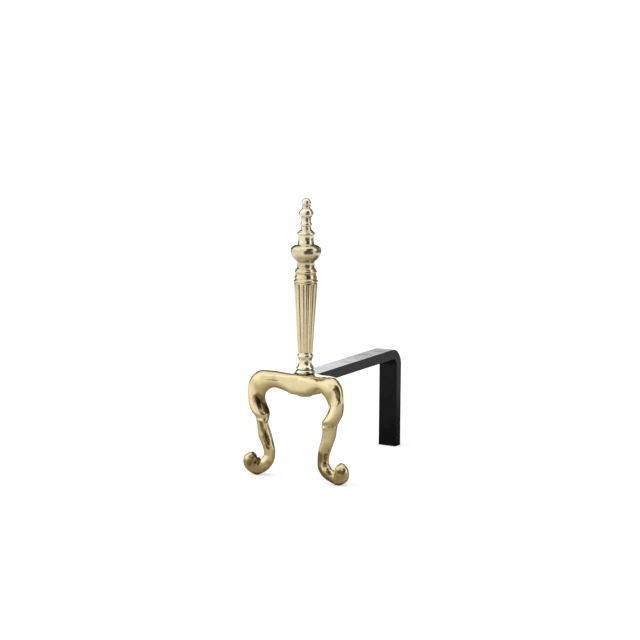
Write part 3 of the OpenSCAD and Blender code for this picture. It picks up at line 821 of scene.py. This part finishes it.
steel, tree, where, shader = finish_named("bright_steel")
skin = put(tree, "ShaderNodeGroup", {"Where": where, "Wave scale": 400.0, "Grain scale": 3000.0,
                                     "Grain share": 0.3, "Smudge scale": 150.0},
           node_tree=uneven_skin)
smudge = skin.outputs["Smudge"]
tree.links.new(blended(tree, smudge, (0.50, 0.49, 0.47, 1), (0.62, 0.61, 0.59, 1)),
               shader.inputs["Base Color"])
tree.links.new(faded(tree, smudge, 0.0, 1.0, 0.24, 0.36), shader.inputs["Roughness"])
shader.inputs["Metallic"].default_value = 1.0
bump = put(tree, "ShaderNodeBump", {"Height": skin.outputs["Height"], "Distance": 0.03 * mm})
tree.links.new(bump.outputs[0], shader.inputs["Normal"])
for node in ("tie_screw", "cup_washer"):
    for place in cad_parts[node].material_slots:
        place.material = steel

# ---- Floor, light and camera ---------------------------------------------------
# White floor that keeps a faint shadow, a white studio round it with a few dark
# gaps for the brass to show, and the camera of the photograph.

floor_radius = 30
shape = bmesh.new()
bmesh.ops.create_circle(shape, cap_ends=True, segments=64, radius=floor_radius)
floor = as_object("floor", shape)
paper, tree, where, shader = finish_named("white_paper")
shader.inputs["Roughness"].default_value = 1.0
shader.inputs["Specular IOR Level"].default_value = 0.0
seen = put(tree, "ShaderNodeLightPath")
from_middle = put(tree, "ShaderNodeVectorMath", {0: where}, operation="LENGTH").outputs["Value"]
# The brass sees a floor of painted shade: a warm, dark painted shadow near the andiron, pale
# further out. It is unlit in a sector round the camera, and at the back both near the andiron and
# far from it
shadowed_middle, pale_outside = (0.48, 0.415, 0.30, 1), (1.10, 1.08, 1.03, 1)
unlit_front, unlit_back = (0.14, 0.12, 0.09, 1), (0.22, 0.21, 0.20, 1)
shown_white, glow = (0.80, 0.79, 0.77, 1), 0.52
unlit_towards = 47.0
reflected = blended(tree, faded(tree, from_middle, 0.06, 0.75), shadowed_middle, pale_outside)
on_floor = put(tree, "ShaderNodeSeparateXYZ", {0: where})
towards = maths(tree, "DEGREES", maths(tree, "ARCTAN2", on_floor.outputs[0],
                                       maths(tree, "MULTIPLY", on_floor.outputs[1], -1.0)))
off_sector = maths(tree, "ABSOLUTE", maths(tree, "SUBTRACT", towards, unlit_towards))
dim = maths(tree, "MULTIPLY", faded(tree, off_sector, 37.0, 29.0),
            faded(tree, from_middle, 0.45, 1.1))
reflected = blended(tree, dim, reflected, unlit_front)
behind = faded(tree, maths(tree, "ABSOLUTE", towards), 95.0, 120.0)
for low, high in ((0.85, 1.9), (0.62, 0.38)):
    unlit = maths(tree, "MULTIPLY", behind, faded(tree, from_middle, low, high))
    reflected = blended(tree, unlit, reflected, unlit_back)
by_camera = seen.outputs["Is Camera Ray"]
tree.links.new(blended(tree, by_camera, reflected, shown_white), shader.inputs["Base Color"])
tree.links.new(maths(tree, "MULTIPLY", by_camera, glow), shader.inputs["Emission Strength"])
shader.inputs["Emission Color"].default_value = (1, 1, 1, 1)
floor.data.materials.append(paper)

# A soft-edged panel of the studio, by its direction in degrees from the front,
# positive to the right
panel, given, wanted = group(
    "studio_panel",
    [("Direction", "NodeSocketVector", None), ("Azimuth", "NodeSocketFloat", 0.0),
     ("Height", "NodeSocketFloat", 0.0), ("Half width", "NodeSocketFloat", 20.0),
     ("Half height", "NodeSocketFloat", 20.0), ("Soft edge", "NodeSocketFloat", 6.0)],
    [("Mask", "NodeSocketFloat")])
ray = put(panel, "ShaderNodeSeparateXYZ", {0: given.outputs["Direction"]})
azimuth = maths(panel, "DEGREES", maths(panel, "ARCTAN2", ray.outputs[0],
                                        maths(panel, "MULTIPLY", ray.outputs[1], -1.0)))
aside = maths(panel, "SUBTRACT", azimuth, given.outputs["Azimuth"])
aside = maths(panel, "WRAP", aside, 180.0, -180.0)
above = maths(panel, "DEGREES", maths(panel, "ARCSINE", ray.outputs[2]))
above = maths(panel, "SUBTRACT", above, given.outputs["Height"])
soft = given.outputs["Soft edge"]
sides = [faded(panel, maths(panel, "SUBTRACT", maths(panel, "ABSOLUTE", off), given.outputs[half]),
               soft, maths(panel, "MULTIPLY", soft, -1.0))
         for off, half in ((aside, "Half width"), (above, "Half height"))]
panel.links.new(maths(panel, "MULTIPLY", *sides), wanted.inputs["Mask"])

studio = bpy.data.worlds.new("studio")
bpy.context.scene.world = studio
studio.use_nodes = True
tree = studio.node_tree
direction = put(tree, "ShaderNodeTexCoord").outputs["Generated"]
light = (0.86, 0.86, 0.86, 1)
measures = ("Azimuth", "Height", "Half width", "Half height", "Soft edge")
for place, colour in (
        ((0, 82, 181, 26, 14), (0.98, 1.00, 1.10, 1)),       # ceiling
        ((-12, 62, 44, 18, 13), (1.14, 1.18, 1.34, 1)),      # softbox over the front
        ((-56, 22, 38, 27, 12), (1.17, 1.19, 1.26, 1)),      # left wall
        ((2, 12, 15, 20, 12), (0.94, 0.92, 0.87, 1)),        # pale wall ahead
        ((101, 24, 15, 34, 7), (1.20, 1.25, 1.40, 1)),       # right window
        ((135, 24, 17, 28, 7), (0.18, 0.18, 0.185, 1)),      # right rear
        ((166, 28, 17, 24, 7), (0.11, 0.10, 0.10, 1)),       # gap behind right
        ((-150, 36, 36, 18, 6), (0.10, 0.09, 0.09, 1)),      # gap behind left
        ((-107, 18, 18, 26, 6), (0.10, 0.09, 0.09, 1)),      # gap at the left
        ((-150, 6, 26, 9, 4), (2.50, 2.52, 2.60, 1)),        # bright sheet behind
        ((33, 26, 5, 20, 4), (0.50, 0.46, 0.38, 1)),         # room beside the camera
        ((62, 26, 25, 20, 6), (0.06, 0.05, 0.035, 1)),       # dark room round the camera
        ((48, 1, 20, 7, 3), (0.06, 0.05, 0.03, 1))):         # dark room below it
    mask = put(tree, "ShaderNodeGroup", {"Direction": direction, **dict(zip(measures, place))},
               node_tree=panel)
    light = blended(tree, mask.outputs["Mask"], light, colour)
seen = put(tree, "ShaderNodeLightPath")
shown = blended(tree, seen.outputs["Is Camera Ray"], light, (1, 1, 1, 1))
tree.links.new(shown, tree.nodes["Background"].inputs["Color"])

key = bpy.data.lights.new("key_softbox", "AREA")
key.shape, key.size, key.size_y, key.energy = "RECTANGLE", 1.6, 1.6, 12
softbox = linked("key_softbox", key)
softbox.visible_glossy = False
softbox_at, softbox_back = Vector((-1.6, -1.8, 2.2)), Vector((-1.6, -1.8, 2.1))
softbox.matrix_world = (Matrix.Translation(softbox_at)
                        @ softbox_back.to_track_quat("Z", "Y").to_matrix().to_4x4())

# The camera stands to the front right, a little above, turned on its own axis
heading, pitch, roll = math.radians(29.350), math.radians(9.520), math.radians(0.4375)
ahead = Vector((-math.sin(heading) * math.cos(pitch), math.cos(heading) * math.cos(pitch),
                -math.sin(pitch)))
right = Vector((math.cos(heading), math.sin(heading), 0))
up = right.cross(ahead)
right, up = (right * math.cos(roll) + up * math.sin(roll),
             up * math.cos(roll) - right * math.sin(roll))
camera_x, camera_y, camera_z = 1.97321, column_y - 3.46652, 0.90034
camera_data = bpy.data.cameras.new("camera")
camera_data.lens, camera_data.sensor_width = 158.006, 36
camera_data.clip_start, camera_data.clip_end = 0.1, 100
camera = linked("camera", camera_data)
camera.matrix_world = Matrix((
    (right.x, up.x, -ahead.x, camera_x),
    (right.y, up.y, -ahead.y, camera_y),
    (right.z, up.z, -ahead.z, camera_z),
    (0, 0, 0, 1)))
bpy.context.scene.camera = camera
bpy.context.scene.view_settings.view_transform = "Standard"
